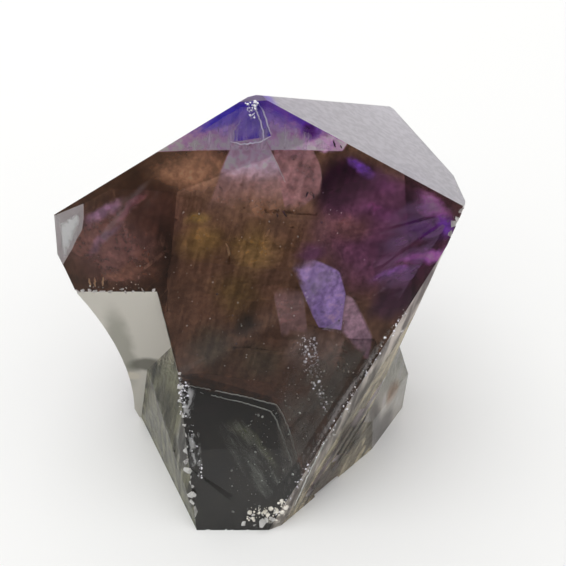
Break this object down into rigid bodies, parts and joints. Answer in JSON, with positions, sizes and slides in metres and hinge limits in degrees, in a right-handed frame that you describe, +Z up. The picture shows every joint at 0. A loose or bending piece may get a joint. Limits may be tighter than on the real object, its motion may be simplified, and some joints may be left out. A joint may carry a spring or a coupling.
{
  "type": "amethyst crystal point with a flat-cut base",
  "caption": "Single large amethyst point, clear to smoky with violet zones, broad at the head and sawn flat at the foot so that it stands on a shelf.",
  "frame": {"origin": "on the cut base, 18 mm behind its straight front edge, near the vertical through the tip", "axes": "+Z up, away from the cut base; -Y is the side that the large front face looks to; +X along that face's front edge, to the right as it is looked at"},
  "size_m": [0.0548, 0.0515, 0.0557],
  "materials": {
    "amethyst": "smooth natural crystal faces, clear and full of veils: violet at the tip and the right, smoky brown in the middle, pale grey on the head's right face and on the broken lower left"
  },
  "bodies": {
    "root": {"amethyst_crystal": "amethyst"}
  },
  "joints": []
}
